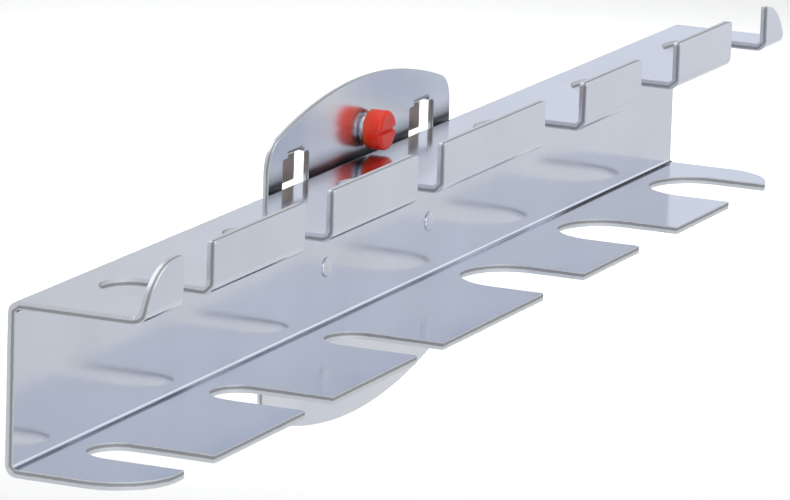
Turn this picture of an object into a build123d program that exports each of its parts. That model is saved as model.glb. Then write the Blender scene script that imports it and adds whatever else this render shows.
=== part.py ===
from build123d import *
import os

# Slotted tool holder for a square-hole perforated panel.  Millimetres.
# X runs along the rail, -Y is the side of the user and +Z is up.
# The origin is where the axis of the clamp screw meets the face of the panel.

# Sheet steel of the rail and of the plate
SHEET = 2.0
BEND_INNER = 1.0
BEND_CENTRE = BEND_INNER + SHEET / 2
PLATE_SHEET = 1.5

# Tool rail: a C-channel of bent sheet with open-front slots in both flanges
RAIL_LENGTH = 400.0
RAIL_CENTRE_X = 6.0
RAIL_LEFT_X = RAIL_CENTRE_X - RAIL_LENGTH / 2
RAIL_RIGHT_X = RAIL_CENTRE_X + RAIL_LENGTH / 2
RAIL_TOP_Z = -6.0
RAIL_HEIGHT = 41.5
RAIL_BOTTOM_Z = RAIL_TOP_Z - RAIL_HEIGHT
RAIL_MIDDLE_Z = RAIL_TOP_Z - RAIL_HEIGHT / 2
WEB_REAR_Y = -PLATE_SHEET
WEB_FRONT_Y = WEB_REAR_Y - SHEET
BOTTOM_FRONT_Y = WEB_REAR_Y - 36.0
LIP_FRONT_Y = WEB_REAR_Y - 34.75
LIP_RISE = 10.9
LIP_TOP_Z = RAIL_TOP_Z + LIP_RISE
END_CORNER_RADIUS = 16.0
LIP_CORNER_RADIUS = 1.0

# Slots: three narrow ones on the left, three wide ones on the right
SLOTS_PER_SIDE = 3
SLOT_PITCH = 65.0
INNER_SLOT_OFFSET = 42.5
NARROW_WIDTH = 16.0
WIDE_WIDTH = 27.0
BOTTOM_SLOT_END_Y = WEB_FRONT_Y - 5.7
TOP_SLOT_END_Y = WEB_FRONT_Y - 8.0

# Mounting plate: barrel-shaped, with two windows whose metal is pushed back into hooks
PLATE_WIDTH = 109.6
PLATE_HEIGHT = 87.0
PLATE_CENTRE_X = -1.85
PLATE_CENTRE_Z = -30.2
PLATE_ARCH_RADIUS = 165.0
PLATE_CORNER_RADIUS = 8.0
WINDOW_CENTRE_X = -3.0
WINDOW_OFFSET = 38.0
WINDOW_WIDTH = 15.4
WINDOW_HEIGHT = 11.5
WINDOW_TOP_Z = 0.4
WINDOW_CORNER_RADIUS = 0.8

# Hooks: each passes through a square hole of 10 mm and drops behind a 1.2 mm panel
HOOK_WIDTH = 9.8
HOOK_PANEL_GAP = 1.25
HOOK_BEND_INNER = 0.5
HOOK_BEND_OUTER = HOOK_BEND_INNER + PLATE_SHEET
HOOK_TIP_Z = -7.0
HOOK_CORNER_RADIUS = 0.5

# Clamp screw: a threaded stud with a moulded head
THREAD_RADIUS = 4.0
THREAD_PITCH = 1.25
THREAD_DEPTH = 0.65
THREAD_CLEARANCE = 0.06
COLLAR_BASE_RADIUS = 5.2
COLLAR_RADIUS = 4.7
COLLAR_RISE = 0.35
COLLAR_FRONT_Y = -PLATE_SHEET - COLLAR_RISE
STUD_TIP_Y = -0.1
STUD_TIP_CHAMFER = 0.6
HEAD_TRAVEL_GAP = 1.05
HEAD_BACK_Y = COLLAR_FRONT_Y - HEAD_TRAVEL_GAP
HEAD_RADIUS = 5.1
HEAD_LENGTH = 5.1
HEAD_FRONT_EDGE = 1.0
HEAD_BACK_EDGE = 0.4
HEAD_SLOT_WIDTH = 1.2
HEAD_SLOT_DEPTH = 1.1
SPIGOT_RADIUS = 2.6
SPIGOT_LENGTH = 2.4
SPIGOT_CLEARANCE = 0.05

# Rivets that hold the rail to the plate
RIVET_X = {"left_rivet": -25.5, "right_rivet": 37.5}
RIVET_Z = -31.0
RIVET_SHANK_RADIUS = 1.6
RIVET_HEAD_RADIUS = 2.5
RIVET_HEAD_HEIGHT = 0.5
RIVET_HEAD_EDGE = 0.3
RIVET_SINK_DEPTH = 0.8

CUT = 5.0  # how far a cutter runs past the metal


def box_between(x0, x1, y0, y1, z0, z1):
    """A box from its two opposite corners."""
    centre = Pos((x0 + x1) / 2, (y0 + y1) / 2, (z0 + z1) / 2)
    return centre * Box(abs(x1 - x0), abs(y1 - y0), abs(z1 - z0))


def turned(points):
    """A solid of revolution about Y from (radius, y) points."""
    face = make_face(Polyline(*points, close=True))
    return revolve(face, Axis.Y, 360)


def corner_waste(radius, length):
    """What a rounded corner removes: a square less a quarter disc, about the disc's centre."""
    square = Rectangle(radius + CUT, radius + CUT, align=(Align.MIN, Align.MIN))
    return extrude(square - Circle(radius), length, both=True)


# ---------------------------------------------------------------- tool rail

def slots():
    """The X centre and the width of each slot, from left to right."""
    narrow = [(-1, step, NARROW_WIDTH) for step in reversed(range(SLOTS_PER_SIDE))]
    wide = [(1, step, WIDE_WIDTH) for step in range(SLOTS_PER_SIDE)]
    return [
        (RAIL_CENTRE_X + side * (INNER_SLOT_OFFSET + step * SLOT_PITCH), width)
        for side, step, width in narrow + wide
    ]


def bent_channel():
    """The unslotted rail: bottom flange, web, top flange and upturned lip."""
    half = SHEET / 2
    web_y = WEB_REAR_Y - half
    points = [
        (BOTTOM_FRONT_Y, RAIL_BOTTOM_Z + half),
        (web_y, RAIL_BOTTOM_Z + half),
        (web_y, RAIL_TOP_Z - half),
        (LIP_FRONT_Y + half, RAIL_TOP_Z - half),
        (LIP_FRONT_Y + half, LIP_TOP_Z),
    ]
    section = Plane.YZ * trace(FilletPolyline(*points, radius=BEND_CENTRE), SHEET)
    return Pos(RAIL_LEFT_X, 0, 0) * extrude(section, RAIL_LENGTH, dir=(1, 0, 0))


def slot_cutter(centre_x, width, end_y, z0, z1):
    """An open-front slot whose closed end is a half circle that reaches back to end_y."""
    radius = width / 2
    round_y = end_y - radius
    front_y = BOTTOM_FRONT_Y - CUT
    straight = box_between(centre_x - radius, centre_x + radius, front_y, round_y, z0, z1)
    closed_end = Pos(centre_x, round_y, (z0 + z1) / 2) * Cylinder(radius, z1 - z0)
    return straight + closed_end


def lip_edges():
    """The left and right X of every lip."""
    lefts = [RAIL_LEFT_X] + [x + width / 2 for x, width in slots()]
    rights = [x - width / 2 for x, width in slots()] + [RAIL_RIGHT_X]
    return list(zip(lefts, rights))


def flange_corner(end_x, side, front_y, z):
    """What rounds one outer front corner of a flange, in plan."""
    centre = Pos(end_x - side * END_CORNER_RADIUS, front_y + END_CORNER_RADIUS, z)
    turn = -90 if side > 0 else 180
    return centre * Rot(0, 0, turn) * corner_waste(END_CORNER_RADIUS, SHEET * 2)


def lip_corner(edge_x, side, radius):
    """What rounds one top corner of a lip, seen from the front."""
    lip_y = LIP_FRONT_Y + SHEET / 2
    centre = Pos(edge_x - side * radius, lip_y, LIP_TOP_Z - radius)
    turn = 0 if side > 0 else 90
    return centre * Plane.XZ.location * Rot(0, 0, turn) * corner_waste(radius, SHEET)


def tool_rail():
    rail = bent_channel()
    for x, width in slots():
        rail -= slot_cutter(x, width, BOTTOM_SLOT_END_Y, RAIL_BOTTOM_Z - CUT, RAIL_MIDDLE_Z)
        rail -= slot_cutter(x, width, TOP_SLOT_END_Y, RAIL_MIDDLE_Z, LIP_TOP_Z + CUT)
    # the blank's round corner runs up the end lips and carries on across their bend
    blank_front_y = LIP_FRONT_Y - LIP_RISE + BEND_INNER
    for end_x, side in ((RAIL_LEFT_X, -1), (RAIL_RIGHT_X, 1)):
        rail -= flange_corner(end_x, side, BOTTOM_FRONT_Y, RAIL_BOTTOM_Z + SHEET / 2)
        rail -= flange_corner(end_x, side, blank_front_y, RAIL_TOP_Z - SHEET / 2)
        rail -= lip_corner(end_x, side, END_CORNER_RADIUS)
    for left, right in lip_edges():
        if left > RAIL_LEFT_X:
            rail -= lip_corner(left, -1, LIP_CORNER_RADIUS)
        if right < RAIL_RIGHT_X:
            rail -= lip_corner(right, 1, LIP_CORNER_RADIUS)
    for x in RIVET_X.values():
        hole = Pos(x, WEB_REAR_Y, RIVET_Z) * Rot(90, 0, 0)
        rail -= hole * Cylinder(RIVET_SHANK_RADIUS, 2 * CUT)
    return rail


# ----------------------------------------------------------- mounting plate

def plate_blank():
    """Straight sides, and a top and bottom that are arcs of one large radius."""
    arch_centre = PLATE_ARCH_RADIUS - PLATE_HEIGHT / 2
    outline = Rectangle(PLATE_WIDTH, PLATE_HEIGHT)
    for side in (-1, 1):
        outline &= Pos(0, side * arch_centre) * Circle(PLATE_ARCH_RADIUS)
    outline = fillet(outline.vertices(), PLATE_CORNER_RADIUS)
    return Pos(PLATE_CENTRE_X, 0, PLATE_CENTRE_Z) * extrude(Plane.XZ * outline, PLATE_SHEET)


def window_cutter(centre_x):
    window = RectangleRounded(WINDOW_WIDTH, WINDOW_HEIGHT, WINDOW_CORNER_RADIUS)
    centre = Pos(centre_x, 0, WINDOW_TOP_Z - WINDOW_HEIGHT / 2)
    return centre * extrude(Plane.XZ * window, CUT, both=True)


def hook_root_cutter(centre_x):
    """The flat metal above a window that the hook's first bend takes the place of."""
    left = centre_x - HOOK_WIDTH / 2
    right = centre_x + HOOK_WIDTH / 2
    top = WINDOW_TOP_Z + HOOK_BEND_OUTER
    return box_between(left, right, -CUT, CUT, WINDOW_TOP_Z, top)


def hook(centre_x):
    """A tab from the top of a window: down the plate, back past the panel and down behind it."""
    middle = PLATE_SHEET / 2
    arm_z = WINDOW_TOP_Z + middle
    leg_y = HOOK_PANEL_GAP + middle
    path = FilletPolyline(
        (-middle, arm_z + HOOK_BEND_OUTER),
        (-middle, arm_z),
        (leg_y, arm_z),
        (leg_y, HOOK_TIP_Z - CUT),
        radius=HOOK_BEND_INNER + middle,
    )
    strip = extrude(Plane.YZ * trace(path, PLATE_SHEET), HOOK_WIDTH / 2, both=True)
    length = 2 * (WINDOW_TOP_Z - HOOK_TIP_Z)
    front = RectangleRounded(HOOK_WIDTH, length, HOOK_CORNER_RADIUS)
    outline = Pos(0, 0, HOOK_TIP_Z + length / 2) * extrude(Plane.XZ * front, CUT, both=True)
    return Pos(centre_x, 0, 0) * (strip & outline)


def mounting_plate():
    plate = plate_blank()
    windows = [WINDOW_CENTRE_X + side * WINDOW_OFFSET for side in (-1, 1)]
    for x in windows:
        plate -= window_cutter(x)
        plate -= hook_root_cutter(x)
        plate += hook(x)
    plate += turned([
        (0, -PLATE_SHEET),
        (COLLAR_BASE_RADIUS, -PLATE_SHEET),
        (COLLAR_RADIUS, COLLAR_FRONT_Y),
        (0, COLLAR_FRONT_Y),
    ])
    plate -= Rot(90, 0, 0) * Cylinder(THREAD_RADIUS + THREAD_CLEARANCE, 2 * CUT)
    for x in RIVET_X.values():
        plate -= Pos(x, 0, RIVET_Z) * rivet_body()
    return plate


# ------------------------------------------------------------------- rivets

def rivet_body():
    """Low head on the web, shank through both sheets, end flush with the plate's back."""
    head_front = WEB_FRONT_Y - RIVET_HEAD_HEIGHT
    sink_radius = RIVET_SHANK_RADIUS + RIVET_SINK_DEPTH
    return turned([
        (0, 0),
        (sink_radius, 0),
        (RIVET_SHANK_RADIUS, -RIVET_SINK_DEPTH),
        (RIVET_SHANK_RADIUS, WEB_FRONT_Y),
        (RIVET_HEAD_RADIUS, WEB_FRONT_Y),
        (RIVET_HEAD_RADIUS, head_front + RIVET_HEAD_EDGE),
        (RIVET_HEAD_RADIUS - RIVET_HEAD_EDGE, head_front),
        (0, head_front),
    ])


# -------------------------------------------------------------- clamp screw

def clamp_stud():
    """M8 stud: full thread from its chamfered tip to the head, then a spigot in the head."""
    root = THREAD_RADIUS - THREAD_DEPTH
    turns = int((STUD_TIP_Y - STUD_TIP_CHAMFER - HEAD_BACK_Y) / THREAD_PITCH)
    thread_start = STUD_TIP_Y - STUD_TIP_CHAMFER
    profile = [(0, STUD_TIP_Y), (THREAD_RADIUS - STUD_TIP_CHAMFER, STUD_TIP_Y)]
    for turn in range(turns):
        crest_y = thread_start - turn * THREAD_PITCH
        profile += [(THREAD_RADIUS, crest_y), (root, crest_y - THREAD_PITCH / 2)]
    profile += [
        (THREAD_RADIUS, thread_start - turns * THREAD_PITCH),
        (THREAD_RADIUS, HEAD_BACK_Y),
        (SPIGOT_RADIUS, HEAD_BACK_Y),
        (SPIGOT_RADIUS, HEAD_BACK_Y - SPIGOT_LENGTH),
        (0, HEAD_BACK_Y - SPIGOT_LENGTH),
    ]
    return turned(profile)


def clamp_head():
    """Moulded cylinder with one slot across its front and a blind socket for the stud."""
    back_y = HEAD_BACK_Y - SPIGOT_CLEARANCE
    front_y = back_y - HEAD_LENGTH
    middle = Pos(0, (back_y + front_y) / 2, 0) * Rot(90, 0, 0)
    head = middle * Cylinder(HEAD_RADIUS, HEAD_LENGTH)
    rims = head.edges().filter_by(GeomType.CIRCLE).sort_by(Axis.Y)
    head = fillet(rims[:1], HEAD_FRONT_EDGE)
    rims = head.edges().filter_by(GeomType.CIRCLE).sort_by(Axis.Y)
    head = fillet(rims[-1:], HEAD_BACK_EDGE)
    half = HEAD_SLOT_WIDTH / 2
    slot_y = front_y + HEAD_SLOT_DEPTH
    head -= box_between(-HEAD_RADIUS, HEAD_RADIUS, front_y - CUT, slot_y, -half, half)
    socket_y = HEAD_BACK_Y - SPIGOT_LENGTH - SPIGOT_CLEARANCE
    socket_radius = SPIGOT_RADIUS + SPIGOT_CLEARANCE
    socket = Pos(0, (socket_y + back_y + CUT) / 2, 0) * Rot(90, 0, 0)
    head -= socket * Cylinder(socket_radius, back_y + CUT - socket_y)
    return head


os.makedirs("parts", exist_ok=True)
NODES = {
    "tool_rail": tool_rail(),
    "mounting_plate": mounting_plate(),
    "clamp_stud": clamp_stud(),
    "clamp_head": clamp_head(),
}
for name, x in RIVET_X.items():
    NODES[name] = Pos(x, 0, RIVET_Z) * rivet_body()
for name, shape in NODES.items():
    export_step(shape, f"parts/{name}.step")
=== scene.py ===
import math

import bmesh
import bpy
from mathutils import Matrix, Vector


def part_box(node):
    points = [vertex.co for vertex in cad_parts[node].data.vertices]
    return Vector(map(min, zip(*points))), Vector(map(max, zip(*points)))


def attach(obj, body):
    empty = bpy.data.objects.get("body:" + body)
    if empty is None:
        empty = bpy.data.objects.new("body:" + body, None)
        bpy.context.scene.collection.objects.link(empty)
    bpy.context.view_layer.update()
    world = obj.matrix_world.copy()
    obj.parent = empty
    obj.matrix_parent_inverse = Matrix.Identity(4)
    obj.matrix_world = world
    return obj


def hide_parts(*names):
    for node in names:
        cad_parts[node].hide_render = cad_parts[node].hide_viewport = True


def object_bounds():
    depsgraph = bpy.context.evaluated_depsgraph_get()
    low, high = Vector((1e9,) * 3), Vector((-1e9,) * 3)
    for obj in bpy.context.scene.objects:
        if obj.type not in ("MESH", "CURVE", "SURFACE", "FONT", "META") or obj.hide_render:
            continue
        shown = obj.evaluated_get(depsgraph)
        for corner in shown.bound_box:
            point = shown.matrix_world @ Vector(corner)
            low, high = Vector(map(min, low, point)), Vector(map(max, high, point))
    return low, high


# Looks of a slotted tool holder of zinc-plated sheet steel with a red clamp screw.
# Everything is in metres, in the frame of the CAD model.

MM = 0.001

# Sheet steel of the rail and of the plate
SHEET = 2.0 * MM
PLATE_SHEET = 1.5 * MM
BEND_INNER = 1.0 * MM
BEND_OUTER = BEND_INNER + SHEET
LIP_RISE = 10.9 * MM
LIP_SETBACK = 1.25 * MM  # the lip stands this far behind the bottom flange's front edge
CUT_DEPTH = "cut_depth"
HOOK_START_Y = 0.2 * MM
ON_PLANE = 0.03 * MM  # a point this near a bend's end counts as on it, so no slivers arise
ON_CUT = 0.5  # share of a normal that tells a cut edge from the sides of the sheet
SLACK = 0.1 * MM  # room for the broken edges when a face is placed on the rail
WELD = 0.001 * MM
CUT_SLOT = 1
HOOK_SLOT = 2

# Painted shade: a dark band crosses the plate where the rail's upper bend meets it
SHADE_BAND_BELOW = 1.6 * MM
SHADE_BAND_ABOVE = 5.4 * MM

# Edges of punched sheet are slightly broken
SHEARED_EDGE = 0.2 * MM
RIVET_EDGE = 0.08 * MM
MOULDED_EDGE = 0.12 * MM
EDGE_STEPS = 2
FLATS_WEIGHT = 100
FLAT_ANGLE = math.radians(0.4)
CORNER_ANGLE = math.radians(50)
SMOOTH_ANGLE = math.radians(50)

# Clamp thread
THREAD_PITCH = 1.25 * MM
THREAD_DEPTH = 0.65 * MM
THREAD_STEPS = 72
RINGS_PER_PITCH = 14
ROOT_HALF = 0.08  # half the flat root, in pitches
FLANK = 0.34  # one flank, in pitches
STUD_IN_HEAD = 0.4 * MM

# Camera: far away on a long lens
CAMERA_AZIMUTH = math.radians(66.0)
CAMERA_ELEVATION = math.radians(12.66)
CAMERA_ROLL = math.radians(1.82)
CAMERA_DISTANCE = 1.6536
CAMERA_AIM = Vector((-3.3, 7.745, -0.17)) * MM
CAMERA_SHIFT_Y = -0.0045
SENSOR_WIDTH = 36.0
LENS = 296.3
CLIP_END = 50.0

# Studio: a floor, a surround with a dark flag, a strip and a glow, and four lights
FLOOR_DROP = 0.30
FLOOR_SIZE = 14.0
WORLD_STRENGTH = 0.66
SKY = (0.985, 0.995, 1.0)
FLAG_DIRECTION = (0.87, -0.12, 0.48)
FLAG_INNER = 7
FLAG_OUTER = 16
FLAG_TONE = (0.06, 0.06, 0.065)
STRIP_DIRECTION = (0.86, -0.46, 0.06)
STRIP_INNER = 3
STRIP_OUTER = 11
STRIP_TONE = (1.6, 1.62, 1.65)
GLOW_DIRECTION = (0.93, 0.33, 0.17)
GLOW_INNER = 2
GLOW_OUTER = 9
GLOW_TONE = (1.12, 1.17, 1.28)
POOL_HEIGHT = 1.3
POOL_ANGLE = math.radians(62)
POOL_SOFTNESS = 0.3
BACK_POOL = (1.5, 0.65)
BACK_POOL_POWER = 60
BACK_POOL_BLEND = 0.75
SIDE_POOL = (2.1, -0.75)
SIDE_POOL_POWER = 9
SIDE_POOL_BLEND = 1.0
TOP_BOX = (0.1, 0.3, 1.5)
TOP_BOX_SIDE = 1.6
TOP_BOX_POWER = 5
FRONT_BOX = (-1.2, -1.6, 0.9)
FRONT_BOX_SIDE = 1.4
FRONT_BOX_POWER = 9


# ------------------------------------------------------------ node helpers

class Nodes:
    """A short way to add and link the nodes of one material or world."""

    def __init__(self, owner):
        self.owner = owner
        self.owner.use_nodes = True
        self.tree = self.owner.node_tree
        self.tree.nodes.clear()

    def add(self, kind, **inputs):
        node = self.tree.nodes.new("ShaderNode" + kind)
        for key, value in inputs.items():
            self.set(node, key, value)
        return node

    def set(self, node, key, value):
        socket = node.inputs[key]
        if isinstance(value, bpy.types.NodeSocket):
            self.tree.links.new(value, socket)
        else:
            socket.default_value = value

    def math(self, operation, a, b):
        node = self.tree.nodes.new("ShaderNodeMath")
        node.operation = operation
        self.set(node, 0, a)
        self.set(node, 1, b)
        return node.outputs[0]

    def ramp(self, value, stops):
        """Map a value through colour stops of (position, grey or colour)."""
        node = self.tree.nodes.new("ShaderNodeValToRGB")
        ramp = node.color_ramp
        while len(ramp.elements) < len(stops):
            ramp.elements.new(0.5)
        for element, (position, colour) in zip(ramp.elements, stops):
            element.position = position
            rgb = (colour,) * 3 if isinstance(colour, float) else colour
            element.color = (*rgb, 1.0)
        self.set(node, "Fac", value)
        return node.outputs["Color"]

    def noise(self, vector, scale, detail=3.0, roughness=0.55, distortion=0.0):
        node = self.add("TexNoise", Vector=vector, Scale=scale, Detail=detail)
        node.inputs["Roughness"].default_value = roughness
        node.inputs["Distortion"].default_value = distortion
        return node.outputs["Fac"]

    def stretched(self, scale):
        """Object coordinates with each axis scaled, for grain and streaks."""
        coords = self.add("TexCoord").outputs["Object"]
        mapping = self.add("Mapping", Vector=coords, Scale=scale)
        return mapping.outputs["Vector"]

    def mix(self, factor, a, b):
        node = self.tree.nodes.new("ShaderNodeMix")
        node.data_type = "RGBA"
        self.set(node, 0, factor)
        self.set(node, 6, (*a, 1.0) if isinstance(a, tuple) else a)
        self.set(node, 7, (*b, 1.0) if isinstance(b, tuple) else b)
        return node.outputs[2]

    def lobe(self, direction, inner, outer):
        """One near a direction of the sky, fading to nought between two angles from it."""
        coords = self.add("TexCoord").outputs["Generated"]
        node = self.tree.nodes.new("ShaderNodeVectorMath")
        node.operation = "DOT_PRODUCT"
        self.set(node, 0, coords)
        self.set(node, 1, Vector(direction).normalized())
        fade = self.tree.nodes.new("ShaderNodeMapRange")
        fade.interpolation_type = "SMOOTHSTEP"
        self.set(fade, "Value", node.outputs["Value"])
        self.set(fade, "From Min", math.cos(math.radians(outer)))
        self.set(fade, "From Max", math.cos(math.radians(inner)))
        return fade.outputs["Result"]

    def rise(self, axis, start, end):
        """Nought up to one place along an axis of the object, rising softly to one at another."""
        axes = self.add("SeparateXYZ", Vector=self.add("TexCoord").outputs["Object"])
        fade = self.tree.nodes.new("ShaderNodeMapRange")
        fade.interpolation_type = "SMOOTHSTEP"
        self.set(fade, "Value", axes.outputs[axis])
        self.set(fade, "From Min", start)
        self.set(fade, "From Max", end)
        return fade.outputs["Result"]

    def bump(self, strength, distance, height):
        node = self.add("Bump", Strength=strength, Distance=distance, Height=height)
        return node.outputs[0]

    def metal(self, colour, rough, normal):
        """Close a material with a bare metal surface."""
        shader = self.add("BsdfPrincipled", Metallic=1.0, Roughness=rough, Normal=normal)
        self.set(shader, "Base Color", colour)
        return self.finish(shader)

    def finish(self, surface, output="OutputMaterial"):
        node = self.add(output)
        self.tree.links.new(surface.outputs[0], node.inputs["Surface"])
        return self.owner


# --------------------------------------------------------------- materials

ZINC = (0.76, 0.80, 0.90)
ZINC_PALE = (0.88, 0.895, 0.94)
ZINC_DULL = (0.71, 0.745, 0.84)
BURNISHED = (0.72, 0.745, 0.80)
FRACTURE = (0.33, 0.34, 0.36)
FRACTURE_LIGHT = (0.42, 0.43, 0.45)
# Painted shade: the dark tone painted on the plate just above the rail
PAINTED_CREASE_SHADE = (0.09, 0.09, 0.095)
# Painted shade: dark, warm copies of the zinc for the hooks behind the plate
HOOK_SHADE_DARK = (0.33, 0.26, 0.22)
HOOK_SHADE_PALE = (0.48, 0.40, 0.35)
RED = (0.93, 0.032, 0.007)
RED_DEEP = (0.86, 0.026, 0.006)
# Painted reflection: the back half of the head is painted a darker, more orange red
PAINTED_REFLECTION_RED = (0.62, 0.12, 0.008)
PAINTED_REFLECTION_SHARE = 0.45  # how far the red turns to the warm one at the head's back
PAPER = (0.93, 0.93, 0.93)
PAPER_PALE = (0.95, 0.95, 0.95)

# Patterns: how fine each is along X, Y and Z, or as one scale
EVEN = (1.0, 1.0, 1.0)
GRAIN = {"x": (5.0, 700.0, 700.0), "z": (700.0, 700.0, 12.0)}
SCRATCHES = (300.0, 60.0, 900.0)
LATHE_MARKS = (40.0, 5200.0, 40.0)
SHEET_CLOUDS = 24.0
SPANGLE = 380.0
BAND_WAVER = 520.0
WAVER_DEPTH = 0.16
TEAR = 3200.0
HOOK_CLOUDS = 180.0
TURNED_CLOUDS = 260.0
FLOW = 300.0
MOULD_GRAIN = 2600.0
PAPER_CLOUDS = 1.5

# Heights of the fine relief
FINE_BUMP = 0.03 * MM
SCRATCH_BUMP = 0.04 * MM
TORN_BUMP = 0.05 * MM


def zinc_sheet(name, grain_axis, colours, roughness, relief, shade_band=None):
    """Bright zinc on rolled sheet: a faint grain, cloudy gloss and a hint of blue.

    A shade band is the height of its bottom and of its top, on the front of the sheet; there
    painted shade darkens the colour, most at the bottom.
    """
    n = Nodes(bpy.data.materials.new(name))
    grain = n.noise(n.stretched(GRAIN[grain_axis]), 1.0, detail=4.0, roughness=0.6)
    clouds = n.noise(n.stretched(EVEN), SHEET_CLOUDS, detail=5.0, roughness=0.6)
    spangle = n.noise(n.stretched(EVEN), SPANGLE, detail=2.0)
    colour = n.mix(n.ramp(clouds, [(0.35, 0.0), (0.7, 1.0)]), *colours)
    rough = n.ramp(clouds, [(0.3, roughness * 0.85), (0.75, roughness * 1.25)])
    rough = n.math("ADD", rough, n.math("MULTIPLY", grain, 0.03))
    height = n.math("ADD", n.math("MULTIPLY", grain, 0.6), n.math("MULTIPLY", spangle, 0.4))
    bump = n.bump(relief, FINE_BUMP, height)
    # Painted shade: the plate's front turns near-black at the band's bottom and clears towards
    # its top
    if shade_band:
        bottom, top = shade_band
        behind_rail = n.rise("Z", bottom, bottom - MM)
        unshaded = n.math("MAXIMUM", n.rise("Z", bottom, top), behind_rail)
        unshaded = n.math("MAXIMUM", unshaded, n.rise("Y", -PLATE_SHEET, 0.0))
        colour = n.mix(unshaded, PAINTED_CREASE_SHADE, colour)
    return n.metal(colour, rough, bump)


def sheared_edge(name):
    """The cut edge of punched sheet: a burnished band, then a dull torn one."""
    n = Nodes(bpy.data.materials.new(name))
    attribute = n.add("Attribute")
    attribute.attribute_name = CUT_DEPTH
    depth = attribute.outputs["Fac"]
    waver = n.noise(n.stretched(EVEN), BAND_WAVER, detail=3.0)
    tear = n.noise(n.stretched(EVEN), TEAR, detail=4.0)
    shift = n.math("MULTIPLY", n.math("SUBTRACT", waver, 0.5), WAVER_DEPTH)
    place = n.math("ADD", depth, shift)
    torn = n.ramp(place, [(0.42, 0.0), (0.52, 1.0), (0.80, 1.0), (0.90, 0.0)])
    grey = n.mix(tear, FRACTURE, FRACTURE_LIGHT)
    colour = n.mix(torn, BURNISHED, grey)
    rough = n.ramp(torn, [(0.0, 0.24), (1.0, 0.5)])
    bump = n.bump(0.35, TORN_BUMP, tear)
    return n.metal(colour, rough, bump)


def shaded_hook(name):
    """The hooks behind the plate, duller and warmer in tone than the sheet; their darker colour
    is painted shade for their place behind the plate.
    """
    n = Nodes(bpy.data.materials.new(name))
    clouds = n.noise(n.stretched(EVEN), HOOK_CLOUDS, detail=4.0)
    scratches = n.noise(n.stretched(SCRATCHES), 1.0, detail=3.0)
    # Painted shade: the hooks' colour is a dark, warm copy of the zinc
    colour = n.mix(n.ramp(clouds, [(0.3, 0.0), (0.72, 1.0)]), HOOK_SHADE_DARK, HOOK_SHADE_PALE)
    rough = n.ramp(clouds, [(0.3, 0.34), (0.75, 0.46)])
    bump = n.bump(0.12, SCRATCH_BUMP, scratches)
    return n.metal(colour, rough, bump)


def zinc_turned(name):
    """Bright zinc on a turned or headed part, with fine lathe marks about Y."""
    n = Nodes(bpy.data.materials.new(name))
    marks = n.noise(n.stretched(LATHE_MARKS), 1.0, detail=2.0)
    clouds = n.noise(n.stretched(EVEN), TURNED_CLOUDS, detail=3.0)
    colour = n.mix(n.ramp(clouds, [(0.35, 0.0), (0.7, 1.0)]), ZINC_PALE, ZINC)
    rough = n.ramp(clouds, [(0.3, 0.2), (0.75, 0.32)])
    bump = n.bump(0.15, FINE_BUMP, marks)
    return n.metal(colour, rough, bump)


def moulded_red(name):
    """Smooth red moulded plastic with a faint flow pattern and a painted reflection, darker and
    more orange, on the head's back half.
    """
    n = Nodes(bpy.data.materials.new(name))
    flow = n.noise(n.stretched(EVEN), FLOW, detail=3.0, distortion=0.4)
    fine = n.noise(n.stretched(EVEN), MOULD_GRAIN, detail=2.0)
    colour = n.mix(flow, RED, RED_DEEP)
    low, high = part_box("clamp_head")
    # Painted reflection: from the head's middle to its back the red turns part way to the darker
    # orange
    painted_reflection = n.math("MULTIPLY", n.rise("Y", (low.y + high.y) / 2, high.y), PAINTED_REFLECTION_SHARE)
    colour = n.mix(painted_reflection, colour, PAINTED_REFLECTION_RED)
    rough = n.ramp(flow, [(0.3, 0.26), (0.75, 0.36)])
    bump = n.bump(0.1, FINE_BUMP, fine)
    shader = n.add("BsdfPrincipled", Roughness=rough, Normal=bump)
    n.set(shader, "Base Color", colour)
    shader.inputs["Subsurface Weight"].default_value = 0.15
    shader.inputs["Subsurface Scale"].default_value = MM
    shader.inputs["Specular IOR Level"].default_value = 0.5
    return n.finish(shader)


def paper_white(name):
    """The studio floor: matte and pale."""
    n = Nodes(bpy.data.materials.new(name))
    tone = n.noise(n.stretched(EVEN), PAPER_CLOUDS, detail=2.0)
    colour = n.mix(tone, PAPER, PAPER_PALE)
    shader = n.add("BsdfPrincipled", Roughness=0.9)
    n.set(shader, "Base Color", colour)
    return n.finish(shader)


# ------------------------------------------------------------------ pieces

def give(piece, materials):
    """Put materials on a piece."""
    piece.data.materials.clear()
    for material in materials:
        piece.data.materials.append(material)


def finished_piece(name, mesh):
    """A piece with smooth rounds and truly flat flats."""
    mesh.shade_smooth()
    mesh.set_sharp_from_angle(angle=SMOOTH_ANGLE)
    piece = bpy.data.objects.new(name, mesh)
    bpy.context.scene.collection.objects.link(piece)
    flats = piece.modifiers.new("flats", "WEIGHTED_NORMAL")
    flats.mode = "FACE_AREA"
    flats.weight = FLATS_WEIGHT
    flats.keep_sharp = True
    return piece


def edge_broken_copy(node, name, edge):
    """The CAD shape of a node, with every sharp corner replaced by a fine round."""
    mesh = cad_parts[node].data.copy()
    shape = bmesh.new()
    shape.from_mesh(mesh)
    bmesh.ops.remove_doubles(shape, verts=shape.verts, dist=WELD)
    bmesh.ops.dissolve_limit(
        shape, angle_limit=FLAT_ANGLE, verts=shape.verts, edges=shape.edges
    )
    corners = [e for e in shape.edges if e.is_manifold and e.calc_face_angle() > CORNER_ANGLE]
    bmesh.ops.bevel(
        shape, geom=corners, offset=edge, segments=EDGE_STEPS, profile=0.5,
        affect="EDGES", clamp_overlap=True,
    )
    shape.to_mesh(mesh)
    shape.free()
    return finished_piece(name, mesh)


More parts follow.
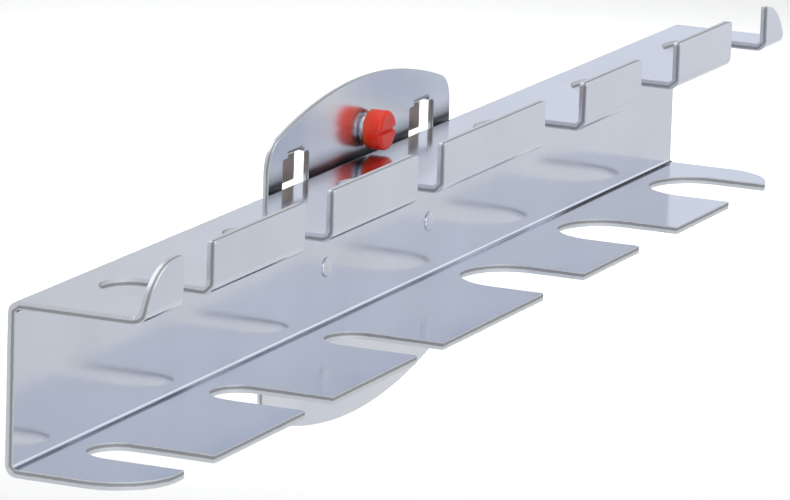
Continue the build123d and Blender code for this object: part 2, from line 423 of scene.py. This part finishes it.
def rail_depth(point, low, high):
    """How far a point of the rail lies below the sheet's outer side, in metres."""
    web = high.y
    top = high.z - LIP_RISE
    lip_rear = low.y + SHEET + LIP_SETBACK
    lip_bend = Vector((lip_rear + BEND_INNER, top + BEND_INNER))
    web_bend = web - BEND_OUTER
    if point.y < lip_bend.x and point.z > top - BEND_OUTER:
        if point.z > lip_bend.y:
            return lip_rear - point.y
        return (Vector((point.y, point.z)) - lip_bend).length - BEND_INNER
    for corner, sign in ((top - BEND_OUTER, 1), (low.z + BEND_OUTER, -1)):
        if point.y > web_bend and sign * (point.z - corner) > 0:
            reach = Vector((point.y - web_bend, point.z - corner)).length
            return BEND_OUTER - reach
    if point.y > web_bend:
        return web - point.y
    return min(point.z - low.z, abs(top - point.z))


def rail_cut(face, low, high):
    """Whether a face of the rail is on the cut edge of its sheet."""
    normal = face.normal
    centre = face.calc_center_median()
    top = high.z - LIP_RISE
    in_web = centre.y > high.y - SHEET - SLACK
    in_lip = centre.z > top + BEND_INNER
    if abs(normal.x) > ON_CUT:
        return True
    if in_web:
        return False
    if in_lip:
        return abs(normal.z) > ON_CUT
    in_bottom = centre.z < low.z + SHEET + SLACK and centre.y < high.y - BEND_OUTER
    flat_top = centre.y > low.y + LIP_SETBACK + BEND_OUTER
    in_top = centre.z > top - SHEET - SLACK and centre.y < high.y - BEND_OUTER and flat_top
    return (in_bottom or in_top) and abs(normal.z) < ON_CUT


def plate_depth(point, low, high):
    """How far a point of the plate lies in front of its rear face, in metres."""
    return -point.y


def plate_cut(face, low, high):
    """Whether a face of the plate is on the cut edge of its sheet."""
    centre = face.calc_center_median()
    return -PLATE_SHEET < centre.y < 0 and abs(face.normal.y) < ON_CUT


def rail_bend_ends(low, high):
    """The planes, as (point, normal), where the straight parts of the rail meet its bends."""
    top = high.z - LIP_RISE
    heights = (low.z + BEND_OUTER, top - BEND_OUTER, top + BEND_INNER)
    depths = (high.y - BEND_OUTER, low.y + LIP_SETBACK + BEND_OUTER)
    return [((0, 0, z), (0, 0, 1)) for z in heights] + [((0, y, 0), (0, 1, 0)) for y in depths]


def mark_cut_edge(piece, node, is_cut, depth, sheet, splits=()):
    """Give the cut edge and the hooks their own slots, and store the depth through the sheet."""
    low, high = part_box(node)
    shape = bmesh.new()
    shape.from_mesh(piece.data)
    for point, normal in splits:
        everything = shape.verts[:] + shape.edges[:] + shape.faces[:]
        bmesh.ops.bisect_plane(
            shape, geom=everything, dist=ON_PLANE, plane_co=point, plane_no=normal
        )
    layer = shape.verts.layers.float.new(CUT_DEPTH)
    for vert in shape.verts:
        vert[layer] = depth(vert.co, low, high) / sheet
    for face in shape.faces:
        if is_cut(face, low, high):
            face.material_index = CUT_SLOT
        elif face.calc_center_median().y > HOOK_START_Y:
            face.material_index = HOOK_SLOT
    shape.to_mesh(piece.data)
    shape.free()


def thread_radius(turn, crest, root):
    """Radius of a thread at a fraction of a turn: flat crest, flat root, straight flanks."""
    phase = turn % 1.0
    flank = min(1.0, max(0.0, (abs(phase - 0.5) - ROOT_HALF) / FLANK))
    return crest + (root - crest) * (1.0 - flank)


def threaded_stud():
    """The stud with a real helical thread, on the axis of its CAD node."""
    low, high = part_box("clamp_stud")
    head_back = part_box("clamp_head")[1].y
    axis_x = (low.x + high.x) / 2
    axis_z = (low.z + high.z) / 2
    crest = (high.x - low.x) / 2
    root = crest - THREAD_DEPTH
    tip = high.y
    end = head_back - STUD_IN_HEAD
    rings = int((tip - end) / (THREAD_PITCH / RINGS_PER_PITCH))
    shape = bmesh.new()
    previous = None
    first = None
    for ring in range(rings + 1):
        y = tip + (end - tip) * ring / rings
        circle = []
        for step in range(THREAD_STEPS):
            angle = 2 * math.pi * step / THREAD_STEPS
            turn = (tip - y) / THREAD_PITCH + step / THREAD_STEPS
            radius = thread_radius(turn, crest, root)
            radius = min(radius, root + (tip - y))
            place = (axis_x + radius * math.sin(angle), y, axis_z + radius * math.cos(angle))
            circle.append(shape.verts.new(place))
        if previous:
            for step in range(THREAD_STEPS):
                after = (step + 1) % THREAD_STEPS
                shape.faces.new(
                    (previous[step], previous[after], circle[after], circle[step])
                )
        else:
            first = circle
        previous = circle
    shape.faces.new(first)
    shape.faces.new(list(reversed(previous)))
    bmesh.ops.recalc_face_normals(shape, faces=shape.faces)
    mesh = bpy.data.meshes.new("threaded_stud")
    shape.to_mesh(mesh)
    shape.free()
    return finished_piece("threaded_stud", mesh)


# ------------------------------------------------------------------- stage

def build_floor(low):
    mesh = bpy.data.meshes.new("floor")
    half = FLOOR_SIZE / 2
    z = low.z - FLOOR_DROP
    corners = [(-half, -half, z), (half, -half, z), (half, half, z), (-half, half, z)]
    mesh.from_pydata(corners, [], [(0, 1, 2, 3)])
    floor = bpy.data.objects.new("floor", mesh)
    floor.data.materials.append(paper_white("studio_floor"))
    bpy.context.scene.collection.objects.link(floor)


def aim(thing, place, target):
    thing.location = place
    thing.rotation_euler = (target - place).to_track_quat("-Z", "Y").to_euler()


def softbox(name, place, target, side, power):
    """A square area light that faces a target."""
    data = bpy.data.lights.new(name, "AREA")
    data.shape = "RECTANGLE"
    data.size = side
    data.size_y = side
    data.energy = power
    light = bpy.data.objects.new(name, data)
    bpy.context.scene.collection.objects.link(light)
    aim(light, Vector(place), target)


def floor_pool(name, place, power, blend, floor_z):
    """A round pool of light on the floor."""
    data = bpy.data.lights.new(name, "SPOT")
    data.energy = power
    data.spot_size = POOL_ANGLE
    data.spot_blend = blend
    data.shadow_soft_size = POOL_SOFTNESS
    pool = bpy.data.objects.new(name, data)
    bpy.context.scene.collection.objects.link(pool)
    target = Vector((*place, floor_z))
    aim(pool, target + Vector((0, 0, POOL_HEIGHT)), target)


def build_lights(centre, floor_z):
    """Pools of light on the floor behind the object and beside it, and two broad soft boxes."""
    floor_pool("back_pool", BACK_POOL, BACK_POOL_POWER, BACK_POOL_BLEND, floor_z)
    floor_pool("side_pool", SIDE_POOL, SIDE_POOL_POWER, SIDE_POOL_BLEND, floor_z)
    softbox("top_softbox", TOP_BOX, centre, TOP_BOX_SIDE, TOP_BOX_POWER)
    softbox("front_softbox", FRONT_BOX, centre, FRONT_BOX_SIDE, FRONT_BOX_POWER)


def build_world():
    """A pale surround with a dark flag high on the right, a bright strip and a soft glow."""
    n = Nodes(bpy.data.worlds.new("studio"))
    dark = n.lobe(FLAG_DIRECTION, FLAG_INNER, FLAG_OUTER)
    bright = n.lobe(STRIP_DIRECTION, STRIP_INNER, STRIP_OUTER)
    colour = n.mix(dark, SKY, FLAG_TONE)
    colour = n.mix(bright, colour, STRIP_TONE)
    glow = n.lobe(GLOW_DIRECTION, GLOW_INNER, GLOW_OUTER)
    colour = n.mix(glow, colour, GLOW_TONE)
    background = n.add("Background", Strength=WORLD_STRENGTH)
    n.set(background, "Color", colour)
    bpy.context.scene.world = n.finish(background, "OutputWorld")


def build_camera(centre):
    data = bpy.data.cameras.new("camera")
    data.sensor_width = SENSOR_WIDTH
    data.lens = LENS
    data.shift_y = CAMERA_SHIFT_Y
    data.clip_end = CLIP_END
    camera = bpy.data.objects.new("camera", data)
    bpy.context.scene.collection.objects.link(camera)
    ahead = Vector((
        math.sin(CAMERA_AZIMUTH) * math.cos(CAMERA_ELEVATION),
        math.cos(CAMERA_AZIMUTH) * math.cos(CAMERA_ELEVATION),
        -math.sin(CAMERA_ELEVATION),
    ))
    level = Vector((math.cos(CAMERA_AZIMUTH), -math.sin(CAMERA_AZIMUTH), 0))
    right = Matrix.Rotation(-CAMERA_ROLL, 3, ahead) @ level
    up = right.cross(ahead)
    turn = Matrix((right, up, -ahead)).transposed()
    place = centre + CAMERA_AIM - ahead * CAMERA_DISTANCE
    camera.matrix_world = Matrix.Translation(place) @ turn.to_4x4()
    bpy.context.scene.camera = camera


# --------------------------------------------------------------- the scene

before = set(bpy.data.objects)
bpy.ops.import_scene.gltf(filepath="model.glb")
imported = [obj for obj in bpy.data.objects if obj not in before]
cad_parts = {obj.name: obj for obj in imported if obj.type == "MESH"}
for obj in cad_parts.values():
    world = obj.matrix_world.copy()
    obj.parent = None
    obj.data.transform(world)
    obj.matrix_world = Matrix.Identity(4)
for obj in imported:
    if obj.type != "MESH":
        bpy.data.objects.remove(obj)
cad_low, cad_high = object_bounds()
centre = (Vector(cad_low) + Vector(cad_high)) / 2

rail_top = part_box("tool_rail")[1].z - LIP_RISE
# The band of painted shade on the plate, just above the rail's top
shade_band = (rail_top - SHADE_BAND_BELOW, rail_top + SHADE_BAND_ABOVE)
rail_zinc = zinc_sheet("rail_zinc", "x", (ZINC, ZINC_DULL), roughness=0.11, relief=0.06)
plate_zinc = zinc_sheet(
    "plate_zinc", "z", (ZINC_PALE, ZINC), roughness=0.22, relief=0.02, shade_band=shade_band
)
fastener_zinc = zinc_turned("fastener_zinc")
cut_zinc = sheared_edge("cut_zinc")
hook_zinc_shaded = shaded_hook("hook_zinc_shaded")
red = moulded_red("red_plastic")

rail = edge_broken_copy("tool_rail", "rail_sheet", SHEARED_EDGE)
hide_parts("tool_rail")
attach(rail, "holder")
give(rail, [rail_zinc, cut_zinc])
bend_ends = rail_bend_ends(*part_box("tool_rail"))
mark_cut_edge(rail, "tool_rail", rail_cut, rail_depth, SHEET, bend_ends)

plate = edge_broken_copy("mounting_plate", "plate_sheet", SHEARED_EDGE)
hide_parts("mounting_plate")
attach(plate, "holder")
give(plate, [plate_zinc, cut_zinc, hook_zinc_shaded])
mark_cut_edge(plate, "mounting_plate", plate_cut, plate_depth, PLATE_SHEET)

for side in ("left", "right"):
    rivet = edge_broken_copy(side + "_rivet", side + "_rivet_head", RIVET_EDGE)
    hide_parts(side + "_rivet")
    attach(rivet, "holder")
    give(rivet, [fastener_zinc])

stud = threaded_stud()
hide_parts("clamp_stud")
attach(stud, "screw_stud")
give(stud, [fastener_zinc])

head = edge_broken_copy("clamp_head", "moulded_head", MOULDED_EDGE)
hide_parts("clamp_head")
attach(head, "screw_head")
give(head, [red])

build_floor(Vector(cad_low))
build_lights(centre, cad_low[2] - FLOOR_DROP)
build_world()
build_camera(centre)

bpy.context.scene.view_settings.view_transform = "Standard"
